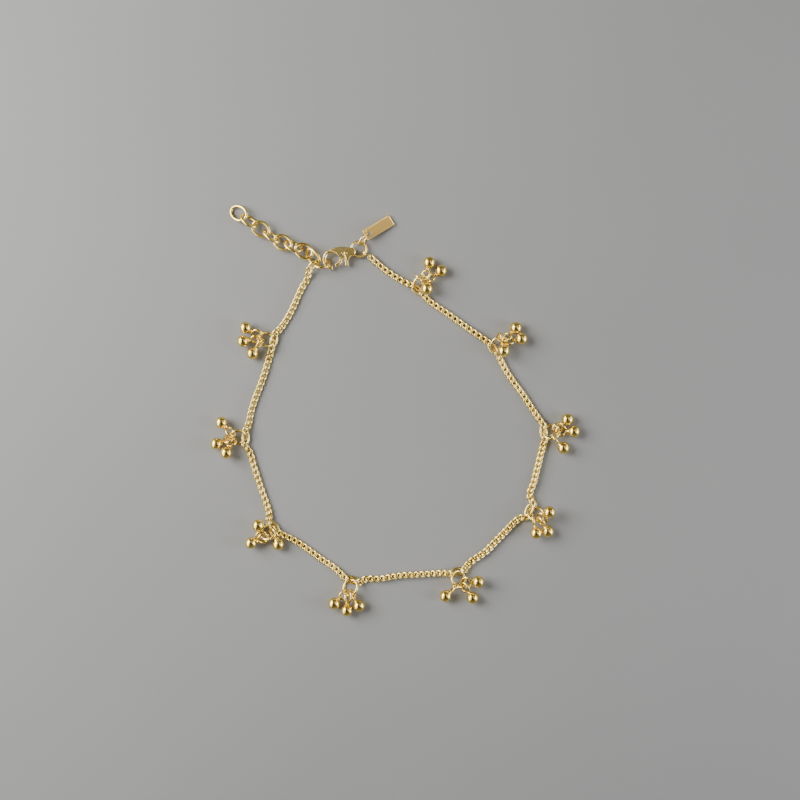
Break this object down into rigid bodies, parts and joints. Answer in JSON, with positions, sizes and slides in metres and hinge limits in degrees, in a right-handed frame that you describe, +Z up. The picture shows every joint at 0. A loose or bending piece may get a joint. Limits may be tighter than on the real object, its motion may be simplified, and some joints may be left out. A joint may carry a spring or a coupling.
{
  "type": "charm anklet",
  "caption": "Fine curb chain anklet with ball drops hung in threes from jump rings, a lobster clasp, an extender of oval links and a small bar tag.",
  "frame": {"origin": "On the surface the anklet lies on, below the middle of its outline.", "axes": "+Z up, away from the surface. +Y along the longest extent, towards the clasp and tag. +X to the right as seen from above."},
  "size_m": [0.0919, 0.1025, 0.0053],
  "materials": {
    "chain gold": "polished gold plate on small curb links",
    "polished gold": "mirror polished gold plate",
    "satin gold": "satin gold plate"
  },
  "bodies": {
    "anklet": {"chain": "chain gold", "charm_ring_1": "polished gold", "charm_ring_2": "polished gold", "charm_ring_3": "polished gold", "charm_ring_4": "polished gold", "charm_ring_5": "polished gold", "charm_ring_6": "polished gold", "charm_ring_7": "polished gold", "charm_ring_8": "polished gold", "charm_ring_9": "polished gold", "drop_1_1": "polished gold", "drop_1_2": "polished gold", "drop_1_3": "polished gold", "drop_2_1": "polished gold", "drop_2_2": "polished gold", "drop_2_3": "polished gold", "drop_3_1": "polished gold", "drop_3_2": "polished gold", "drop_3_3": "polished gold", "drop_4_1": "polished gold", "drop_4_2": "polished gold", "drop_4_3": "polished gold", "drop_5_1": "polished gold", "drop_5_2": "polished gold", "drop_5_3": "polished gold", "drop_6_1": "polished gold", "drop_6_2": "polished gold", "drop_6_3": "polished gold", "drop_7_1": "polished gold", "drop_7_2": "polished gold", "drop_7_3": "polished gold", "drop_8_1": "polished gold", "drop_8_2": "polished gold", "drop_8_3": "polished gold", "drop_9_1": "polished gold", "drop_9_2": "polished gold", "drop_9_3": "polished gold", "extender_link_1": "polished gold", "extender_link_2": "polished gold", "extender_link_3": "polished gold", "extender_link_4": "polished gold", "extender_link_5": "polished gold", "extender_link_6": "polished gold", "extender_link_7": "polished gold", "extender_link_8": "polished gold", "end_ring": "polished gold", "clasp_body": "polished gold", "clasp_ring": "polished gold", "tag_ring": "polished gold", "tag": "satin gold"},
    "lever": {"clasp_lever": "polished gold"}
  },
  "joints": [
    {"name": "lever_hinge", "type": "hinge", "parent": "anklet", "child": "lever", "pos_m": [-0.0123, 0.0391, 0.0016], "axis": [0, 0, 1], "range_deg": [-20, 0], "stiffness_Nm_per_rad": 0.002}
  ]
}
